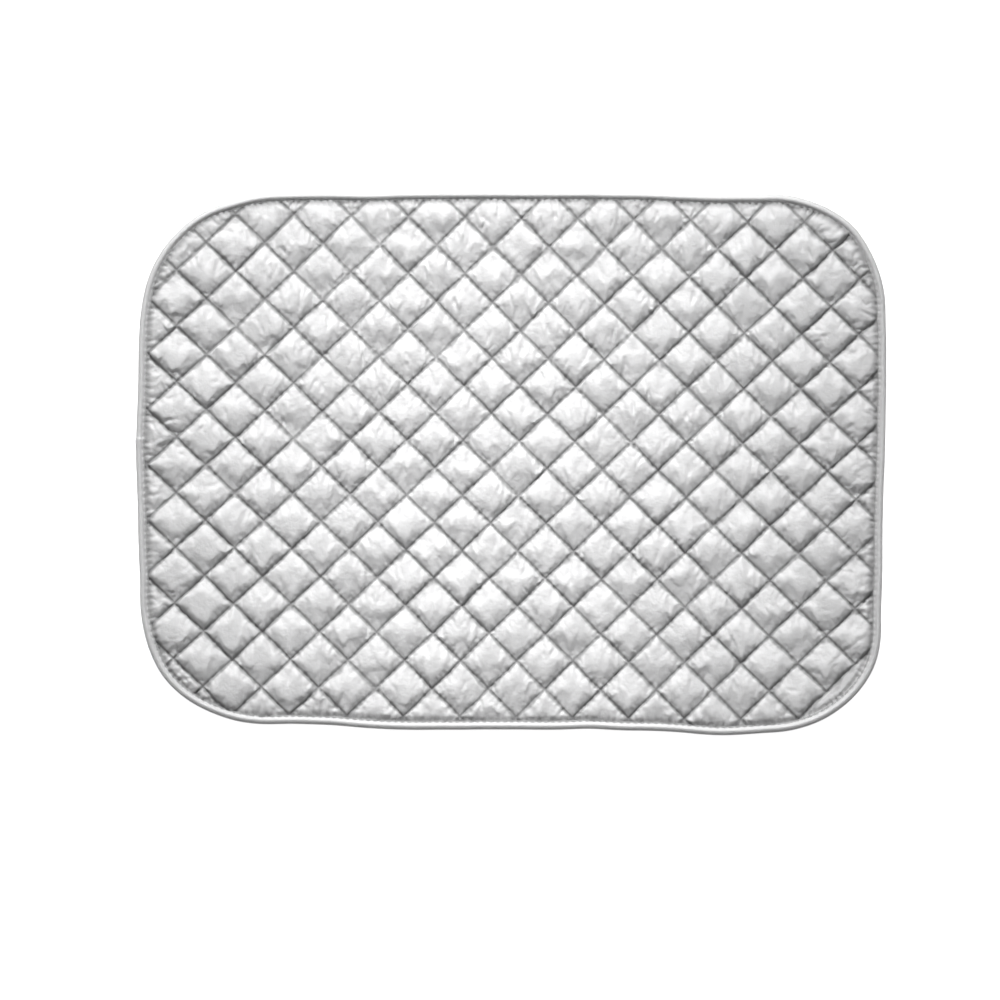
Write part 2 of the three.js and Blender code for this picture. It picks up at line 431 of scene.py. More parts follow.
# Blender's cloth at a larger scale, where its solver is at home: it starts slack, and its
# pinned seams are drawn together over the first frames
def gather(mesh, slackPoints, sewnPoints, pinned):
    scale = clothSettings["scale"]
    writePoints(mesh, slackPoints * scale)
    cloth = putInScene("gathering", mesh)
    cloth.shape_key_add(name="slack")
    sewn = cloth.shape_key_add(name="sewn")
    sewn.data.foreach_set("co", (sewnPoints * scale).astype(np.float32).ravel())
    sewn.value = 0
    sewn.keyframe_insert("value", frame=1)
    sewn.value = 1
    sewn.keyframe_insert("value", frame=clothSettings["gatherFrames"])
    pins = cloth.vertex_groups.new(name="pins")
    pins.add([int(index) for index in np.nonzero(pinned)[0]], 1.0, "REPLACE")
    modifier = cloth.modifiers.new("cloth", "CLOTH")
    for name, value in clothSettings["solver"].items():
        setattr(modifier.settings, name, value)
    modifier.settings.effector_weights.gravity = 0
    modifier.collision_settings.use_collision = False
    modifier.collision_settings.use_self_collision = False
    modifier.point_cache.frame_start = 1
    modifier.point_cache.frame_end = clothSettings["frames"]
    for number in range(1, clothSettings["frames"] + 1):
        bpy.context.scene.frame_set(number)
    gathered = bakedMesh(cloth)
    points = readPoints(gathered) / scale
    points[:, 2] = np.clip(points[:, 2], padSettings["lowest"], padSettings["highest"])
    writePoints(gathered, points)
    bpy.context.scene.frame_set(1)
    return gathered


# The strip in the front right corner that the falling seams don't cross
def inPlainStrip(risingPlace, x):
    return (risingPlace < -onLine) & (x > padSettings["plainFrom"])


# The edges of a quilt's mesh that lie along a seam
def seamEdges(bm):
    layers = bm.verts.layers.float
    lines = ((layers["risingPlace"], rising["count"]), (layers["fallingPlace"], falling["count"]))
    found = []
    for edge in bm.edges:
        for layer, count in lines:
            line = round(edge.verts[0][layer])
            if 0 <= line < count and all(abs(v[layer] - line) < onLine for v in edge.verts):
                found.append(edge)
    return found


# The seams' edges are split, so that each diamond is a cloth of its own, and joined again after
def splitAtSeams(mesh):
    bm = openMesh(mesh)
    risingLayer = bm.verts.layers.float["risingPlace"]
    seams = [
        edge for edge in seamEdges(bm)
        if not any(inPlainStrip(vert[risingLayer], vert.co.x) for vert in edge.verts)
    ]
    bmesh.ops.split_edges(bm, edges=seams)
    closeMesh(bm, mesh)


# 0 on the flat margin beside the tape, and 1 past a fade inside it
def pastMargin(inset, fade):
    margin = padSettings["marginInset"]
    return smoothStep(margin, margin + fade, inset)


# 0 at a seam and 1 in the middle between two
def seamWindow(places, family):
    gap = np.minimum(1, 2 * seamGap(places, family))
    return 1 - (1 - gap) ** 2


def makePadCloth():
    mesh = quiltGrid(padSettings["facesPerCell"], padSettings["pinch"], padSettings["rim"])
    splitAtSeams(mesh)
    points = readPoints(mesh)
    risingPlace, fallingPlace = placesOf(mesh)
    # each vertex belongs to the cell of its faces
    corners = np.empty(len(mesh.loops), dtype=np.int64)
    mesh.loops.foreach_get("vertex_index", corners)
    corners = corners.reshape(-1, 4)
    row = np.zeros(len(points), dtype=int)
    column = np.zeros(len(points), dtype=int)
    row[corners] = cellOf(risingPlace[corners].mean(axis=1), rising)[:, None]
    column[corners] = cellOf(fallingPlace[corners].mean(axis=1), falling)[:, None]
    cell = cellNumber(row, column)
    numbers, cell = np.unique(cell, return_inverse=True)
    sizes = np.bincount(cell)
    centreX = np.bincount(cell, points[:, 0]) / sizes
    centreY = np.bincount(cell, points[:, 1]) / sizes
    plainCells = np.unique(cell[(row < 0) & (points[:, 0] > padSettings["plainFrom"])])
    inPlain = np.isin(cell, plainCells)
    centreX[plainCells], centreY[plainCells] = points[inPlain, :2].mean(axis=0)
    plain = inPlainStrip(risingPlace, points[:, 0])
    fallingPlace[plain] = math.floor(fallingPlace[plain].mean()) + 0.5
    writeValues(mesh, "fallingPlace", fallingPlace)
    inset = insetAt(points[:, 0], points[:, 1])
    window = seamWindow(risingPlace, rising) * seamWindow(fallingPlace, falling)
    margin = padSettings["marginInset"]
    window *= pastMargin(inset, padSettings["marginFade"])
    onSeam = (seamGap(risingPlace, rising) < onLine) | (seamGap(fallingPlace, falling) < onLine)
    flatHeights = padSettings["marginHeight"], padSettings["seamHeight"]
    points[:, 2] = np.where(inset < margin, *flatHeights)
    points[:, 2] += padSettings["crown"] * window
    wrinkles = ripplesOver(points[:, 0], 0.4 * points[:, 1], padSettings["wrinkleLength"])
    points[:, 2] += padSettings["wrinkle"] * wrinkles * np.sqrt(window)
    # near the ends the slack lies across the mat, elsewhere along it, and least at the front
    random = np.random.default_rng(padSettings["slackSeed"])
    spread = padSettings["slackSpread"]
    atFront, towardsBack = padSettings["slackFromFront"]
    share = random.uniform(1 - spread, 1 + spread, len(numbers))
    share[plainCells] = padSettings["plainSlack"]
    share *= atFront + towardsBack * smoothStep(*padSettings["frontToBack"], centreY)
    toEnds = smoothStep(*padSettings["endsFrom"], np.abs(centreX))
    slack = points.copy()
    for axis, centre in enumerate((centreX, centreY)):
        middle, atEnds = padSettings["slackAlong"][axis]
        amount = padSettings["slack"] * share * (middle + atEnds * toEnds)
        slack[:, axis] += (points[:, axis] - centre[cell]) * amount[cell]
    pinned = onSeam | (inset < margin)
    return gather(mesh, slack, points, pinned)


# The split seams are joined again, creased along their lines and smoothed once
def joinAndSmooth(mesh):
    bm = openMesh(mesh)
    bmesh.ops.remove_doubles(bm, verts=bm.verts, dist=1e-5)
    sharpness = bm.edges.layers.float.new("crease_edge")
    for edge in seamEdges(bm):
        edge[sharpness] = padSettings["seamSharpness"]
    closeMesh(bm, mesh)
    smoothed = putInScene("smoothing", mesh)
    modifier = smoothed.modifiers.new("smooth", "SUBSURF")
    modifier.levels = 1
    modifier.render_levels = 1
    modifier.boundary_smooth = "ALL"
    return bakedMesh(smoothed)


# Each vertex's entry in a table of the cells, and how far over its cell it is each way, 0 to 1
def placeInCell(mesh):
    risingPlace, fallingPlace = placesOf(mesh)
    row, column = np.floor(risingPlace).astype(int), np.floor(fallingPlace).astype(int)
    most = padSettings["mostCells"]
    return (row % most, column % most), risingPlace - row, fallingPlace - column


# Each puff leans its own way, so that its crest is off the middle of its diamond
def leanOf(mesh):
    entry, overRow, overColumn = placeInCell(mesh)
    most = padSettings["mostCells"]
    random = np.random.default_rng(padSettings["leanSeed"])
    leans = random.normal(0, padSettings["lean"], (most, most, 2))
    lean = leans[entry] - padSettings["leanForward"]
    return lean[:, 0] * (overRow - 0.5) + lean[:, 1] * (overColumn - 0.5)


# Distance from the nearest seam, in metres
def edgeOfCell(mesh):
    risingPlace, fallingPlace = placesOf(mesh)
    gap = np.minimum(seamGap(risingPlace, rising), seamGap(fallingPlace, falling))
    return gap * rising["pitch"]


# Puckers long across a seam and short along it, which fade away from it
def puckersOf(mesh):
    acrossRising, acrossFalling = placesOf(mesh)
    length, reach = padSettings["puckerLength"] / rising["pitch"], padSettings["puckerReach"]
    total = np.zeros(len(acrossRising))
    for across, along, family, seed in (
        (acrossRising, acrossFalling, rising, 15), (acrossFalling, acrossRising, falling, 16),
    ):
        fade = np.exp(-seamGap(across, family) * rising["pitch"] / reach)
        total += cloud(along, 0.3 * across, length, seed) * fade
    return padSettings["pucker"] * total


# A puff is rather a tent than a dome: a soft ridge runs from side to side across its middle
def ridgeOf(mesh):
    entry, overRow, overColumn = placeInCell(mesh)
    most = padSettings["mostCells"]
    random = np.random.default_rng(padSettings["ridgeSeed"])
    ridges = random.normal(padSettings["ridgePlace"], padSettings["ridgeSpread"], (most, most))
    toBack = overRow + overColumn - 1 - ridges[entry]
    return padSettings["ridge"] * (0.4 - np.sqrt(toBack**2 + padSettings["ridgeRound"] ** 2))


# The ridge wavers to the front and back, so that the shaded half of a puff ends in tongues
def waver(mesh, points):
    x, y = points[:, 0], points[:, 1]
    room = smoothStep(0.0, padSettings["tongueFade"], edgeOfCell(mesh))
    room *= pastMargin(insetAt(x, y), padSettings["marginFade"])
    shift = cloud(x, 0.3 * y, padSettings["tongueLength"], 25)
    points[:, 1] += padSettings["tongue"] * shift * room


# The highest crests are rounded off below the height that the mat may have
def withinHeight(points):
    easeFrom, highest = padSettings["easeFrom"], padSettings["highest"]
    over = np.maximum(points[:, 2] - easeFrom, 0) / (highest - easeFrom)
    eased = easeFrom + (highest - easeFrom) * np.tanh(over)
    points[:, 2] = np.where(over > 0, eased, np.maximum(points[:, 2], padSettings["lowest"]))
    return points


# The plain strip climbs evenly from its seam to the tape
def plainHeight(mesh, inset):
    fromSeam = seamGap(readValues(mesh, "risingPlace"), rising) * rising["pitch"]
    climb = sum(part * smoothStep(0, way, fromSeam) for part, way in padSettings["plainClimb"])
    toTape = pastMargin(inset, padSettings["plainFall"])
    return padSettings["plainFilling"] * padSettings["fullRise"] * climb * toTape


# The filling rounds the puffs out, in lumps, and the seams don't all sink alike
def plump(mesh):
    points = readPoints(mesh)
    base, top = padSettings["seamHeight"], padSettings["fullRise"]
    rise = points[:, 2] - base
    share = np.clip(rise / top, 0, None)
    full = top * share ** padSettings["fullness"]
    x, y = points[:, 0], points[:, 1]
    shareX, shareY = x / reachX, y / reachY
    fuller = 1 + padSettings["fullerEnds"] * (shareX**2 - 0.3) - padSettings["fullerFront"] * shareY
    fuller += padSettings["fullerCorners"] * shareX * shareY
    for number, (amount, length) in enumerate(padSettings["unlike"]):
        fuller += amount * cloud(x, y, length, 60 + number)
    full *= padSettings["plumpness"] * (fuller + leanOf(mesh) + ridgeOf(mesh))
    inset = insetAt(x, y)
    plain = inPlainStrip(readValues(mesh, "risingPlace"), x)
    full[plain] = plainHeight(mesh, inset)[plain]
    inside = pastMargin(inset, padSettings["unevenFade"])
    puffed = smoothStep(0.0, 0.0025, rise) * inside
    height = padSettings["sunkSeam"] + np.where(rise > 0, full, rise)
    for number, (amount, length) in enumerate(padSettings["lumps"]):
        height += amount * cloud(x, y, length, 3 + number) * puffed
    height += padSettings["sinkSpread"] * cloud(x, y, padSettings["sinkLength"], 8) * inside
    height += puckersOf(mesh) * inside
    low, high = (padSettings["marginInset"] + fade for fade in padSettings["fillingFade"])
    points[:, 2] += (height - points[:, 2]) * smoothStep(low, high, inset)
    waver(mesh, points)
    writePoints(mesh, withinHeight(points))


# Small folds pressed into the gathered cloth, a few to a diamond: up and down over most of the
# mat, and across it at the ends
foldSettings = {
    "seed": 5,
    "most": 4,
    "length": (0.009, 0.018),
    "width": (0.0012, 0.0022),
    "depth": (0.0005, 0.0015),
    "fadeAtSeam": 0.003,
    "fadeAtTape": 0.002,
    # how deep folds are at the front, what the back adds, and where in Y that comes in
    "depthFromFront": (0.55, 0.45),
    "frontToBack": (-0.1, 0.12),
    # where in X the ends come in, what share of the folds lies across there, and the direction
    # of folds across and of the others: its middle and its spread
    "endsFrom": (0.24, 0.32),
    "acrossAtEnds": 0.8,
    "acrossTurn": (0.1, 0.35),
    "upTurn": (math.pi / 2, 0.3),
    # how bent a fold is, and the ridge beside it: height, place and width against the furrow
    "bend": 0.12,
    "ridge": (0.6, 2.1, 1.4),
    # how far from the middle of a diamond a fold may lie, in X and in Y
    "reachX": (-0.011, 0.011),
    "reachY": (-0.009, 0.012),
}
# folds that stand out: x and y of the middle, direction in degrees, length, width and depth in mm
strongFolds = (
    (-318, 39, 8, 34, 1.9, 1.3), (-326, 16, 12, 24, 1.6, 1.0), (-318, 60, 20, 26, 1.4, 0.8),
    (335, 138, -25, 30, 1.6, 1.0), (312, -178, 40, 52, 1.8, 1.0), (-306, -203, -45, 40, 1.6, 0.9),
)


# A fold is a furrow with a low ridge beside it, fading towards both ends
def foldHeight(x, y, direction, length, width, depth):
    along = x * math.cos(direction) + y * math.sin(direction)
    across = y * math.cos(direction) - x * math.sin(direction)
    across = across + foldSettings["bend"] * along**2 / length
    fade = np.maximum(0, 1 - (2 * along / length) ** 2) ** 1.5
    furrow = np.exp(-((across / width) ** 2))
    height, place, spread = foldSettings["ridge"]
    ridge = np.exp(-(((across - place * width) / (spread * width)) ** 2))
    return depth * fade * (height * ridge - furrow)


def pressFolds(mesh):
    points = readPoints(mesh)
    risingPlace, fallingPlace = placesOf(mesh)
    gap = edgeOfCell(mesh)
    inset = insetAt(points[:, 0], points[:, 1])
    room = smoothStep(0, foldSettings["fadeAtSeam"], gap)
    room *= pastMargin(inset, foldSettings["fadeAtTape"])
    cell = cellNumber(cellOf(risingPlace, rising), cellOf(fallingPlace, falling))
    order = np.argsort(cell, kind="stable")
    numbers, starts = np.unique(cell[order], return_index=True)
    random = np.random.default_rng(foldSettings["seed"])
    atFront, towardsBack = foldSettings["depthFromFront"]
    added = np.zeros(len(points))
    for number, members in zip(numbers, np.split(order, starts[1:])):
        x, y = points[members, 0], points[members, 1]
        centreX, centreY = x.mean(), y.mean()
        share = atFront + towardsBack * smoothStep(*foldSettings["frontToBack"], centreY)
        toEnds = smoothStep(*foldSettings["endsFrom"], abs(centreX))
        for _ in range(random.integers(0, foldSettings["most"] + 1)):
            across = random.random() < toEnds * foldSettings["acrossAtEnds"]
            direction = random.normal(*foldSettings["acrossTurn" if across else "upTurn"])
            length = random.uniform(*foldSettings["length"])
            width = random.uniform(*foldSettings["width"])
            depth = random.uniform(*foldSettings["depth"]) * share
            middleX = centreX + random.uniform(*foldSettings["reachX"])
            middleY = centreY + random.uniform(*foldSettings["reachY"])
            if random.random() < 0.5:
                direction += math.pi
            added[members] += foldHeight(
                x - middleX, y - middleY, direction, length, width, depth
            )
    points[:, 2] += added * room
    for x, y, degrees, length, width, depth in strongFolds:
        fold = foldHeight(
            points[:, 0] - x / 1000, points[:, 1] - y / 1000,
            math.radians(degrees), length / 1000, width / 1000, depth / 1000,
        )
        points[:, 2] += fold * np.sqrt(room)
    points[:, 2] += stitchPull(points[:, 0], points[:, 1], inset)
    writePoints(mesh, withinHeight(points))
    # The seam and edge distances drive the painted shade in the cloth's colour: the seam shade's
    # width varies over the mat, and the plain strip gets less of the tape's
    amount, length = padSettings["unevenPaintedShade"]
    paintedShadeSwing = amount * cloud(points[:, 0], points[:, 1], length, 5)
    writeValues(mesh, "seamDistance", gap * (1 + paintedShadeSwing))
    plain = inPlainStrip(risingPlace, points[:, 0])
    writeValues(mesh, "edgeDistance", inset + padSettings["stripPaintedShadeCut"] * plain)


# Beside the tape the cloth is drawn down at every second needle hole and puffs up between them,
# by a share of the pull
tapeStitch = {
    "pitch": 0.0032, "tickPitch": 0.0064, "tickWidth": 0.0011, "inset": 0.0071,
    "pull": 0.0012, "puff": 0.3, "reach": 0.0030, "swingLength": 0.009,
}


def wayAt(x, y):
    return np.array([edgeWay[edgeTree.find((a, b, 0))[1]] for a, b in zip(x, y)])


# 1 at a tick of the tape's seam and 0 between two ticks
def tickAt(way):
    pitch = tapeStitch["tickPitch"]
    apart = (way + pitch / 2) % pitch - pitch / 2
    return np.exp(-((apart / tapeStitch["tickWidth"]) ** 2))


def stitchPull(x, y, inset):
    height = np.zeros(len(x))
    near = np.nonzero(inset < padSettings["marginInset"] + 3 * tapeStitch["reach"])[0]
    way = wayAt(x[near], y[near])
    swing = wavesAlong(way, tapeStitch["swingLength"], 3)
    fade = np.exp(-np.abs(inset[near] - padSettings["marginInset"]) / tapeStitch["reach"])
    height[near] = tapeStitch["pull"] * fade * (1 + swing) * (tapeStitch["puff"] - tickAt(way))
    return height


# The cloth's rim is carried down and under to close the pad over the tape's lower leaf
def closePad(mesh):
    bm = openMesh(mesh)
    inner = padSettings["marginInset"] - padSettings["rim"]
    for height, step in zip(padSettings["tuckHeights"], (0.0, inner, padSettings["tuckDepth"])):
        rim = [edge for edge in bm.edges if edge.is_boundary]
        made = bmesh.ops.extrude_edge_only(bm, edges=rim)["geom"]
        for vert in [item for item in made if isinstance(item, bmesh.types.BMVert)]:
            toEdge = edgeOutward[edgeTree.find((vert.co.x, vert.co.y, 0))[1]]
            vert.co.x -= toEdge[0] * step
            vert.co.y -= toEdge[1] * step
            vert.co.z = height
    rim = [edge for edge in bm.edges if edge.is_boundary]
    bottom = bmesh.ops.edgeloop_fill(bm, edges=rim)["faces"]
    bmesh.ops.triangulate(bm, faces=bottom)
    bmesh.ops.recalc_face_normals(bm, faces=bm.faces)
    closeMesh(bm, mesh)


def makePad(material):
    mesh = joinAndSmooth(makePadCloth())
    plump(mesh)
    pressFolds(mesh)
    closePad(mesh)
    pad = putInScene("quilted_pad", mesh)
    finishPiece(pad, material, ["top_cover", "wadding"])
    top = readPoints(mesh)[:, 2].max()
    print("quilted pad:", len(mesh.polygons), "faces, highest", round(top * 1000, 2), "mm")
    return pad


# The back cover, drawn up a little along the seams

backSettings = {
    "facesPerCell": 8,
    "pinch": 0.45,
    "rim": 0.002,
    "thickness": 0.0004,
    "draw": 0.0006,
    "drawWidth": 0.0035,
    # it lies over the tape's lower leaf, and comes down between these insets
    "overTape": 0.0012,
    "overTapeInset": (0.0085, 0.0105),
    "ripple": 0.00012,
    "rippleLength": 0.009,
    "rippleFade": 0.004,
    # the size that the cloth is cut to
    "cut": (0.697, 0.502),
}


def makeBack(material):
    mesh = quiltGrid(backSettings["facesPerCell"], backSettings["pinch"], backSettings["rim"])
    points = readPoints(mesh)
    gap = edgeOfCell(mesh)
    inset = insetAt(points[:, 0], points[:, 1])
    points[:, 2] = backSettings["draw"] * np.exp(-((gap / backSettings["drawWidth"]) ** 2))
    ripples = ripplesOver(points[:, 0], points[:, 1], backSettings["rippleLength"])
    fade = smoothStep(0, backSettings["rippleFade"], gap)
    points[:, 2] += backSettings["ripple"] * (1 + ripples) * fade
    overTape = 1 - smoothStep(*backSettings["overTapeInset"], inset)
    points[:, 2] += (backSettings["overTape"] - points[:, 2]) * overTape
    writePoints(mesh, points)
    # the seam distance drives the backing's painted shade along its seams
    writeValues(mesh, "seamDistance", gap)
    writeValues(mesh, "edgeDistance", inset)
    back = putInScene("backing_cloth", mesh)
    modifier = back.modifiers.new("thickness", "SOLIDIFY")
    modifier.thickness = backSettings["thickness"]
    modifier.offset = 1
    finishPiece(back, material, ["back_cover"])
    print("backing cloth:", len(mesh.polygons), "faces")
    return back


# The edge binding: one tape folded round the edge and sewn through

tapeSettings = {
    # the tape in section, inwards from its outer edge and up, in mm
    "section": (
        (8.3, 0.45), (8.0, 0.08), (7.1, 0.0), (5.6, 0.0), (3.8, 0.0), (2.2, 0.05), (1.1, 0.35),
        (0.4, 0.95), (0.05, 1.7), (0.1, 2.6), (0.5, 3.6), (1.1, 4.4), (1.8, 4.95),
        (2.6, 5.25), (3.4, 5.35), (4.2, 5.1), (4.9, 4.65), (5.5, 4.15), (6.1, 3.65), (6.7, 3.25),
        (7.4, 3.05), (8.1, 3.05), (8.4, 2.9), (8.2, 2.7), (7.4, 2.65), (5.0, 2.7), (2.6, 2.7),
        (1.7, 2.6), (1.2, 2.2), (1.2, 1.7), (1.6, 1.25), (2.6, 1.0), (5.0, 1.0), (7.9, 0.9),
    ),
    "stretch": 0.0012,
    # heights from which the top leaf starts, and insets over which its inner edge does
    "topLeaf": (0.0028, 0.0036),
    "innerEdge": (0.0055, 0.0082),
    "pucker": 0.0003,
    "puckerLength": 0.0045,
    "sinkAtStitch": 0.0010,
    "sinkWidth": 0.0016,
    "sway": 0.0005,
    "swayLength": 0.04,
    "drawnIn": 0.0009,
    # how much nearer to open cloth the tape's painted shade reads at a stitch, and beside the pad's
    # plain strip
    "stitchPaintedShade": 0.0012,
    "plainStripPaintedShade": 0.0022,
    # how far the crest of the tape is rolled inwards, at the back and at the front
    "roll": (0.0009, 0.0005),
    # the tape beside the pad's plain strip, in degrees round the mat: its middle and half width
    "besidePlain": -37,
    "besidePlainWidth": 9,
    # where one end of the tape laps over the other, in degrees, and the step that it makes
    "lapAt": 176.5,
    "lapRise": 0.0012,
    "lapLength": 0.012,
    "lapHeight": 0.0007,
    "lapWidth": 0.0006,
}


def makeTape(material):
    section = np.array(tapeSettings["section"]) / 1000
    around = round(edgeLength / tapeSettings["stretch"])
    mesh = gridMesh("tape", around, len(section))
    grid = readPoints(mesh)[:, :2] + 0.5
    step = np.round(grid[:, 0] * around).astype(int) % around
    corner = np.round(grid[:, 1] * len(section)).astype(int)
    way = step / around * edgeLength
    inset, height = section[corner % len(section)].T
    top = smoothStep(*tapeSettings["topLeaf"], height)
    swing = wavesAlong(way, tapeSettings["puckerLength"], 7)
    slow = wavesAlong(way, tapeSettings["swayLength"], 19)
    tick = tickAt(way)
    atSeam = np.exp(-(((inset - tapeStitch["inset"]) / tapeSettings["sinkWidth"]) ** 2))
    innerEdge = smoothStep(*tapeSettings["innerEdge"], inset)
    height = height + top * tapeSettings["pucker"] * swing * (0.4 + innerEdge)
    height = height - top * atSeam * tapeSettings["sinkAtStitch"] * tick
    drawn = tapeSettings["sway"] * slow - tapeSettings["drawnIn"] * tick
    inset = inset + top * innerEdge * drawn
    degrees = np.degrees(np.arctan2(*np.roll(edgePoints, 1, axis=1).T))
    lapStart = edgeWay[np.argmin(np.abs(degrees - tapeSettings["lapAt"]))]
    past = way - lapStart
    lap = smoothStep(-tapeSettings["lapRise"], 0.0, past)
    lap *= 1 - smoothStep(0, tapeSettings["lapLength"], past)
    height = height + lap * tapeSettings["lapHeight"] * smoothStep(0.0012, 0.003, height)
    inset = inset - lap * tapeSettings["lapWidth"] * (1 - smoothStep(0.001, 0.004, inset))
    outer, outward = [
        np.column_stack([
            np.interp(way, edgeWay, np.append(values[:, axis], values[0, axis])) for axis in (0, 1)
        ])
        for values in (edgePoints, edgeOutward)
    ]
    wayDegrees = np.degrees(np.arctan2(outer[:, 1], outer[:, 0]))
    atBack, atFront = tapeSettings["roll"]
    roll = atBack * np.maximum(outward[:, 1], 0) + atFront * np.maximum(-outward[:, 1], 0)
    fromEdge = inset.copy()
    acrossLeaf = np.clip(inset / tapeSettings["innerEdge"][1], 0, 1)
    inset = inset + roll * top * np.sin(math.pi * acrossLeaf)
    points = np.column_stack((outer - outward * inset[:, None], height))
    writePoints(mesh, points)
    sectionWay = np.concatenate(
        ([0], np.cumsum(np.linalg.norm(np.roll(section, -1, axis=0) - section, axis=1)))
    )
    writeValues(mesh, "tapeWay", grid[:, 0] * edgeLength)
    writeValues(mesh, "tapeAcross", sectionWay[corner])
    # the tape's painted shade reads this distance: deeper at each stitch's dimple, less beside the
    # pad's plain strip
    apart = (wayDegrees - tapeSettings["besidePlain"]) / tapeSettings["besidePlainWidth"]
    paintedShadeShift = tapeSettings["stitchPaintedShade"] * tick - tapeSettings["plainStripPaintedShade"] * np.exp(-(apart**2))
    writeValues(mesh, "edgeDistance", fromEdge + paintedShadeShift * top)
    bm = openMesh(mesh)
    bmesh.ops.remove_doubles(bm, verts=bm.verts, dist=1e-6)
    bmesh.ops.recalc_face_normals(bm, faces=bm.faces)
    closeMesh(bm, mesh)
    tape = putInScene("edge_tape", mesh)
    finishPiece(tape, material, ["edge_binding"])
    print("edge tape:", len(mesh.polygons), "faces")
    return tape


# Stitches

stitchSettings = {
    "pitch": 0.0035,
    "length": 0.0031,
    "thickness": 0.0004,
    "dip": 0.00022,
    "sides": 6,
    "rings": 4,
    # how far a stitch stands off the cloth, as a share of its thickness
    "standOff": 0.15,
    "tapeStandOffUnder": 0.05,
    # a seam is followed in small steps, from past the first seam that it crosses to past the last
    "beyond": 1.9,
    "runSteps": 1500,
}


# A row of single stitches copied by an Array modifier, then each one laid at its own place
def layStitches(name, places, headings, lift, material, replaced):
    bm = bmesh.new()
    bmesh.ops.create_uvsphere(
        bm, u_segments=stitchSettings["sides"], v_segments=stitchSettings["rings"], radius=0.5
    )
    bmesh.ops.rotate(bm, verts=bm.verts, matrix=Matrix.Rotation(math.pi / 2, 3, "Y"))
    mesh = bpy.data.meshes.new(name)
    closeMesh(bm, mesh)
    size = len(mesh.vertices)
    row = putInScene("row", mesh)
    modifier = row.modifiers.new("copies", "ARRAY")
    modifier.use_relative_offset = False
    modifier.use_constant_offset = True
    modifier.constant_offset_displace = (2, 0, 0)
    modifier.count = len(places)
    mesh = bakedMesh(row)
    points = readPoints(mesh)
    number = np.arange(len(points)) // size
    along = points[:, 0] - 2 * number
    writeValues(mesh, "alongStitch", along * stitchSettings["length"])
    writeValues(mesh, "roundStitch", np.arctan2(points[:, 2], points[:, 1]))
    side = points[:, 1] * stitchSettings["thickness"] * np.sqrt(1 - 0.3 * (2 * along) ** 2)
    rise = points[:, 2] * stitchSettings["thickness"]
    rise = rise - math.copysign(1, lift) * stitchSettings["dip"] * (2 * along) ** 2
    along = along * stitchSettings["length"]
    heading = headings[number]
    x = places[number, 0] + along * np.cos(heading) - side * np.sin(heading)
    y = places[number, 1] + along * np.sin(heading) + side * np.cos(heading)
    writePoints(mesh, np.column_stack((x, y, places[number, 2] + rise + lift)))
    mesh.name = name
    stitches = putInScene(name, mesh)
    finishPiece(stitches, material, replaced)
    print(name + ":", len(places), "stitches")
    return stitches


# Places a stitch apart along a path of points, with the heading at each
def alongPath(x, y, pitch):
    steps = np.hypot(np.diff(x), np.diff(y))
    way = np.concatenate(([0], np.cumsum(steps)))
    count = int(way[-1] / pitch)
    if count < 2:
        return np.empty((0, 2)), np.empty(0)
    at = (way[-1] - count * pitch) / 2 + pitch * (np.arange(count) + 0.5)
    places = np.column_stack((np.interp(at, way, x), np.interp(at, way, y)))
    before, after = at - pitch / 4, at + pitch / 4
    aheadX = np.interp(after, way, x) - np.interp(before, way, x)
    aheadY = np.interp(after, way, y) - np.interp(before, way, y)
    return places, np.arctan2(aheadY, aheadX)


def stitchPlaces(family):
    places, headings = [], []
    for line in range(family["count"]):
        beyond = stitchSettings["beyond"]
        run = np.linspace(-beyond, family["count"] - 1 + beyond, stitchSettings["runSteps"])
        fixed = np.full(len(run), float(line))
        x, y = layOnMat(fixed, run) if family is rising else layOnMat(run, fixed)
        inside = insetAt(x, y) > padSettings["marginInset"]
        inside &= (family is rising) | ~inPlainStrip(run, x)
        seamPlaces, seamHeadings = alongPath(x[inside], y[inside], stitchSettings["pitch"])
        places.append(seamPlaces)
        headings.append(seamHeadings)
    return np.concatenate(places), np.concatenate(headings)


# The height of a surface over or under each place, found by a ray straight down or up
def surfaceHeights(tree, places, fromAbove):
    start, way = (0.03, -1) if fromAbove else (-0.03, 1)
    heights = []
    for x, y in places:
        hit = tree.ray_cast(Vector((x, y, start)), Vector((0, 0, way)))[0]
        heights.append(hit.z if hit else np.nan)
    return np.array(heights)


def surfaceTree(piece):
    graph = bpy.context.evaluated_depsgraph_get()
    return BVHTree.FromObject(piece, graph)


def makeStitches(pad, back, tape, quiltThread, tapeThread):
    bpy.context.view_layer.update()
    padTree, backTree, tapeTree = surfaceTree(pad), surfaceTree(back), surfaceTree(tape)
    thickness = stitchSettings["thickness"]
    for kind, family in (("rising", rising), ("falling", falling)):
        places, headings = stitchPlaces(family)
        nodes = [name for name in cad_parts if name.startswith("quilting_thread_" + kind)]
        for side, tree, above in (("top", padTree, True), ("under", backTree, False)):
            heights = surfaceHeights(tree, places, above)
            lift = thickness * stitchSettings["standOff"] * (1 if above else -1)
            layStitches(
                "quilting_stitches_" + kind + "_" + side,
                np.column_stack((places, heights)), headings, lift,
                quiltThread, sorted(nodes) if above else [],
            )
    inner = edgePoints - edgeOutward * tapeStitch["inset"]
    x, y = np.append(inner[:, 0], inner[0, 0]), np.append(inner[:, 1], inner[0, 1])
    places, headings = alongPath(x, y, tapeStitch["pitch"])
    for side, above, node in (("top", True, "needle"), ("under", False, "bobbin")):
        heights = surfaceHeights(tapeTree, places, above)
        off = stitchSettings["standOff"] if above else -stitchSettings["tapeStandOffUnder"]
        lift = thickness * off
        layStitches(
            "tape_stitches_" + side, np.column_stack((places, heights)), headings, lift,
            tapeThread, ["binding_" + node + "_thread"],
        )


# Materials

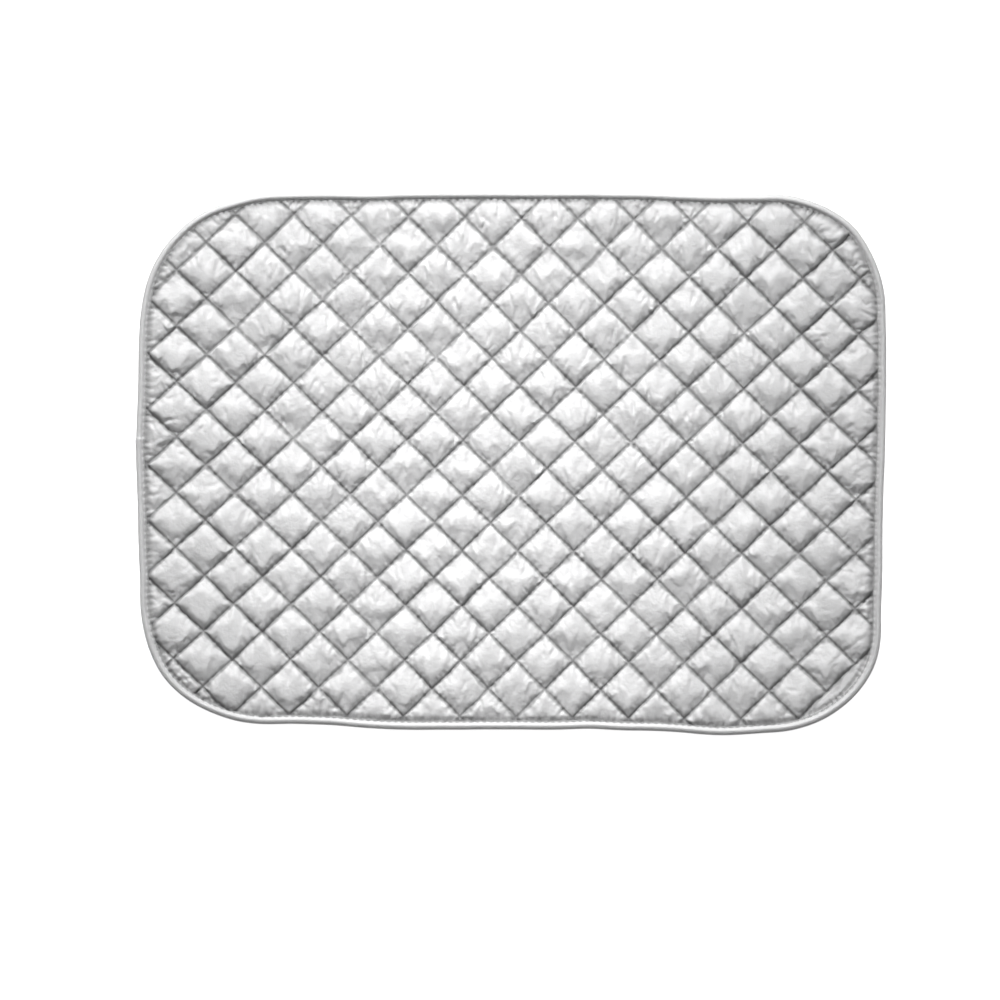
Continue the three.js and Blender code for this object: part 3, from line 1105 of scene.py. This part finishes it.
def feed(tree, socket, value):
    if isinstance(value, bpy.types.NodeSocket):
        tree.links.new(value, socket)
    else:
        socket.default_value = value


# A new node, with its inputs by name or, after an underscore, by number
def addNode(tree, kind, settings=None, **inputs):
    node = tree.nodes.new(kind)
    for name, value in (settings or {}).items():
        setattr(node, name, value)
    for name, value in inputs.items():
        feed(tree, node.inputs[int(name[1:]) if name[0] == "_" else name], value)
    return node


def mathNode(tree, operation, first, second=0.0):
    return addNode(tree, "ShaderNodeMath", {"operation": operation}, _0=first, _1=second).outputs[0]


def newGroup(name, inputs, outputs):
    group = bpy.data.node_groups.new(name, "ShaderNodeTree")
    for socketName, kind, value in inputs:
        socket = group.interface.new_socket(socketName, in_out="INPUT", socket_type=kind)
        if value is not None:
            socket.default_value = value
    for socketName, kind in outputs:
        group.interface.new_socket(socketName, in_out="OUTPUT", socket_type=kind)
    return group, group.nodes.new("NodeGroupInput"), group.nodes.new("NodeGroupOutput")


# Plain weave: warp over weft, the height of the threads at each point
def makeWeaveGroup():
    group, given, result = newGroup(
        "clothWeave",
        [("Vector", "NodeSocketVector", None), ("Threads per metre", "NodeSocketFloat", 2000.0)],
        [("Height", "NodeSocketFloat")],
    )
    spun = addNode(
        group, "ShaderNodeVectorMath", {"operation": "SCALE"},
        Vector=given.outputs["Vector"], Scale=given.outputs["Threads per metre"],
    )
    axes = addNode(group, "ShaderNodeSeparateXYZ", Vector=spun.outputs[0])
    waves = [
        mathNode(group, "SINE", mathNode(group, "MULTIPLY", axes.outputs[axis], math.pi))
        for axis in (0, 1)
    ]
    both = mathNode(group, "MULTIPLY", waves[0], waves[1])
    group.links.new(mathNode(group, "ABSOLUTE", both), result.inputs["Height"])
    return group


# Cloudy unevenness at two sizes: a shade for colour or roughness, and a height
def makeCrumpleGroup():
    group, given, result = newGroup(
        "softCrumple",
        [
            ("Vector", "NodeSocketVector", None), ("Large", "NodeSocketFloat", 12.0),
            ("Fine", "NodeSocketFloat", 220.0),
        ],
        [("Shade", "NodeSocketFloat"), ("Height", "NodeSocketFloat")],
    )
    large = addNode(
        group, "ShaderNodeTexNoise",
        Vector=given.outputs["Vector"], Scale=given.outputs["Large"], Detail=3.0,
    )
    fine = addNode(
        group, "ShaderNodeTexNoise",
        Vector=given.outputs["Vector"], Scale=given.outputs["Fine"], Detail=4.0, Roughness=0.6,
    )
    group.links.new(large.outputs[0], result.inputs["Shade"])
    group.links.new(fine.outputs[0], result.inputs["Height"])
    return group


# Painted shade: the shadow, and some dust, that gather in a seam darken the colour: 1 on open
# cloth, Least at the seam itself
def makePaintedShadeGroup():
    group, given, result = newGroup(
        "paintedSeamShade",
        [
            ("Distance", "NodeSocketFloat", 0.0), ("Near", "NodeSocketFloat", 0.0003),
            ("Far", "NodeSocketFloat", 0.0015), ("Least", "NodeSocketFloat", 0.5),
        ],
        [("Shade", "NodeSocketFloat")],
    )
    distance, near, far, least = given.outputs[:4]
    shade = addNode(
        group, "ShaderNodeMapRange", {"interpolation_type": "SMOOTHSTEP"},
        _0=distance, _1=near, _2=far, _3=least, _4=1.0,
    )
    group.links.new(shade.outputs[0], result.inputs["Shade"])
    return group


groups = {"weave": makeWeaveGroup(), "crumple": makeCrumpleGroup(), "seam": makePaintedShadeGroup()}


def placeGroup(tree, group, **inputs):
    node = tree.nodes.new("ShaderNodeGroup")
    node.node_tree = groups[group]
    for name, value in inputs.items():
        feed(tree, node.inputs[name.replace("_", " ")], value)
    return node


def newMaterial(name, settings):
    material = bpy.data.materials.new(name)
    material.use_nodes = True
    tree = material.node_tree
    shader = tree.nodes["Principled BSDF"]
    for socket, value in settings.items():
        shader.inputs[socket].default_value = value
    return material, tree, shader


def attributeOf(tree, name):
    return addNode(tree, "ShaderNodeAttribute", {"attribute_name": name}).outputs["Fac"]


def mixColours(tree, factor, first, second):
    settings = {"data_type": "RGBA"}
    return addNode(tree, "ShaderNodeMix", settings, _0=factor, _6=first, _7=second).outputs[2]


def rangeOf(tree, value, low, high):
    return addNode(tree, "ShaderNodeMapRange", Value=value, _3=low, _4=high).outputs[0]


# One cloth finish: two tones clouded together, darkened by painted shade in its seams and by its
# edges, with a weave and crumples
def makeClothMaterial(name, look):
    material, tree, shader = newMaterial(name, look["shader"])
    place = tree.nodes.new("ShaderNodeTexCoord").outputs["Object"]
    if look.get("pattern") == "tape":
        way, across = attributeOf(tree, "tapeWay"), attributeOf(tree, "tapeAcross")
        place = addNode(tree, "ShaderNodeCombineXYZ", X=way, Y=across).outputs[0]
    weave = placeGroup(tree, "weave", Vector=place, Threads_per_metre=look["threads"])
    crumple = placeGroup(tree, "crumple", Vector=place, Large=look["large"], Fine=look["fine"])
    colour = mixColours(tree, crumple.outputs["Shade"], look["light"], look["dark"])
    # each entry paints shade into the colour: the dark painted shade colour is mixed in near a seam
    # or an edge, where shadow falls
    for distance, near, far, least in look["paintedShades"]:
        shade = placeGroup(
            tree, "seam", Distance=attributeOf(tree, distance), Near=near, Far=far, Least=least
        ).outputs["Shade"]
        colour = mixColours(tree, shade, look["paintedShadeColour"], colour)
    tree.links.new(colour, shader.inputs["Base Color"])
    rough = rangeOf(tree, crumple.outputs["Height"], *look["roughness"])
    tree.links.new(rough, shader.inputs["Roughness"])
    crumpleBump = addNode(
        tree, "ShaderNodeBump",
        Strength=look["crumpleStrength"], Distance=0.001, Height=crumple.outputs["Height"],
    )
    weaveBump = addNode(
        tree, "ShaderNodeBump",
        Strength=look["weaveStrength"], Distance=0.0002, Height=weave.outputs["Height"],
        Normal=crumpleBump.outputs[0],
    )
    tree.links.new(weaveBump.outputs[0], shader.inputs["Normal"])
    return material


metallisedLook = {
    "shader": {"Metallic": 0.1, "Specular IOR Level": 0.35},
    "threads": 2400, "large": 14, "fine": 240,
    "light": (0.87, 0.87, 0.873, 1), "dark": (0.79, 0.79, 0.793, 1),
    "paintedShadeColour": (0.10, 0.10, 0.102, 1),
    # painted shade: the shadow in the seams, and the shade on the cloth where it dips beside the
    # tape
    "paintedShades": (("seamDistance", 0.0005, 0.0032, 0.42), ("edgeDistance", 0.0084, 0.0148, 0.52)),
    "roughness": (0.54, 0.68), "crumpleStrength": 0.7, "weaveStrength": 0.25,
}
tapeLook = {
    "shader": {"Metallic": 0.15, "Specular IOR Level": 0.5},
    "pattern": "tape", "threads": 1800, "large": 20, "fine": 300,
    "light": (0.86, 0.86, 0.862, 1), "dark": (0.79, 0.79, 0.792, 1),
    # painted shade darkening the tape's inner slope, where it turns down towards the pad
    "paintedShadeColour": (0.16, 0.16, 0.162, 1), "paintedShades": (("edgeDistance", 0.0086, 0.0060, 0.34),),
    "roughness": (0.45, 0.6), "crumpleStrength": 0.3, "weaveStrength": 0.4,
}
backingLook = {
    "shader": {"Metallic": 0.0, "Specular IOR Level": 0.3},
    "threads": 1600, "large": 10, "fine": 200,
    "light": (0.60, 0.605, 0.61, 1), "dark": (0.52, 0.525, 0.53, 1),
    # painted shade darkening the backing along its seams
    "paintedShadeColour": (0.25, 0.25, 0.26, 1), "paintedShades": (("seamDistance", 0.0002, 0.0016, 0.5),),
    "roughness": (0.75, 0.95), "crumpleStrength": 0.4, "weaveStrength": 0.6,
}


# Sewing thread: two plies twisted together, with painted shade in the groove between them
def makeThreadMaterial(name, colour, twist):
    material, tree, shader = newMaterial(name, {"Roughness": 0.6, "Specular IOR Level": 0.4})
    along = mathNode(tree, "MULTIPLY", attributeOf(tree, "alongStitch"), 2 * math.pi / twist)
    around = mathNode(tree, "MULTIPLY", attributeOf(tree, "roundStitch"), 2.0)
    plies = mathNode(tree, "SINE", mathNode(tree, "ADD", along, around))
    shade = rangeOf(tree, plies, 0.0, 1.0)
    # the darker colour is painted shade where the twist dips between the plies
    dark = tuple(0.6 * part for part in colour[:3]) + (1,)
    tree.links.new(mixColours(tree, shade, dark, colour), shader.inputs["Base Color"])
    bump = addNode(tree, "ShaderNodeBump", Strength=0.6, Distance=0.0001, Height=plies)
    tree.links.new(bump.outputs[0], shader.inputs["Normal"])
    return material


metallisedCloth = makeClothMaterial("metallised_cloth", metallisedLook)
bindingTape = makeClothMaterial("binding_tape", tapeLook)
backingCloth = makeClothMaterial("backing_cloth", backingLook)
threadTwist = 0.0009  # metres to a turn
quiltingThread = makeThreadMaterial("quilting_thread", (0.45, 0.45, 0.46, 1), threadTwist)
bindingThread = makeThreadMaterial("binding_thread", (0.62, 0.62, 0.63, 1), threadTwist)

pad = makePad(metallisedCloth)
back = makeBack(backingCloth)
tape = makeTape(bindingTape)
makeStitches(pad, back, tape, quiltingThread, bindingThread)

studio = {
    # one soft lamp behind the mat, a little to the left, in W, metres and degrees
    "lampStrength": 640,
    "lampDistance": 3.0,
    "lampElevation": 40,
    "lampTurn": 6,
    "lampRadius": 0.55,
    "lampAim": (-0.03, 0.0),
    "lampCone": 27,
    # light from all round, as seen above and below the floor, and the backdrop itself
    "fill": 0.15,
    "fillFromBelow": 0.9,
    "backdrop": 1.1,
    "floorColour": (0.85, 0.85, 0.85, 1),
    "floorGlow": 0.88,
    "metresPerPixel": 0.000937,
    "matCentre": (511.5, 462),
    "elevation": 86,
    "distance": 6.0,
}


def seenByCamera(tree):
    return tree.nodes.new("ShaderNodeLightPath").outputs["Is Camera Ray"]


def makeStudio():
    mesh = gridMesh("floor", 1, 1, half=4)
    floor = putInScene("floor", mesh)
    floor.location.z = -0.0002
    material, tree, shader = newMaterial("floor", {"Roughness": 0.9})
    shader.inputs["Base Color"].default_value = studio["floorColour"]
    glow = mathNode(tree, "MULTIPLY", seenByCamera(tree), studio["floorGlow"])
    shader.inputs["Emission Color"].default_value = (1, 1, 1, 1)
    tree.links.new(glow, shader.inputs["Emission Strength"])
    mesh.materials.append(material)
    lamp = bpy.data.lights.new("lamp", "SPOT")
    lamp.energy = studio["lampStrength"]
    lamp.shadow_soft_size = studio["lampRadius"]
    lamp.spot_size = math.radians(studio["lampCone"])
    lamp.spot_blend = 1.0
    lampObject = bpy.data.objects.new("lamp", lamp)
    height, turn = math.radians(studio["lampElevation"]), math.radians(studio["lampTurn"])
    direction = Vector((
        -math.sin(turn) * math.cos(height), math.cos(turn) * math.cos(height), math.sin(height)
    ))
    lampObject.location = direction * studio["lampDistance"]
    toMat = Vector((*studio["lampAim"], 0)) - lampObject.location
    lampObject.rotation_euler = toMat.to_track_quat("-Z", "Y").to_euler()
    bpy.context.scene.collection.objects.link(lampObject)
    world = bpy.data.worlds.new("studio")
    world.use_nodes = True
    tree = world.node_tree
    background = tree.nodes["Background"]
    background.inputs["Color"].default_value = (1, 1, 1, 1)
    heading = tree.nodes.new("ShaderNodeTexCoord").outputs["Generated"]
    upward = addNode(tree, "ShaderNodeSeparateXYZ", Vector=heading).outputs["Z"]
    fill = addNode(
        tree, "ShaderNodeMapRange",
        _0=upward, _1=-0.3, _2=0.0, _3=studio["fillFromBelow"], _4=studio["fill"],
    ).outputs[0]
    strength = rangeOf(tree, seenByCamera(tree), fill, studio["backdrop"])
    tree.links.new(strength, background.inputs["Strength"])
    bpy.context.scene.world = world
    bpy.context.scene.view_settings.view_transform = "Standard"


def makeCamera():
    camera = bpy.data.cameras.new("camera")
    camera.sensor_width = 36
    width = 1000 * studio["metresPerPixel"]
    camera.lens = 36 * studio["distance"] / width
    camera.clip_end = 50
    cameraObject = bpy.data.objects.new("camera", camera)
    elevation = math.radians(studio["elevation"])
    across = (500 - studio["matCentre"][0]) * studio["metresPerPixel"]
    down = (studio["matCentre"][1] - 500) * studio["metresPerPixel"] / math.sin(elevation)
    back = studio["distance"]
    cameraObject.location = (across, down - back * math.cos(elevation), back * math.sin(elevation))
    cameraObject.rotation_euler = (math.pi / 2 - elevation, 0, 0)
    bpy.context.scene.collection.objects.link(cameraObject)
    bpy.context.scene.camera = cameraObject


makeStudio()
makeCamera()
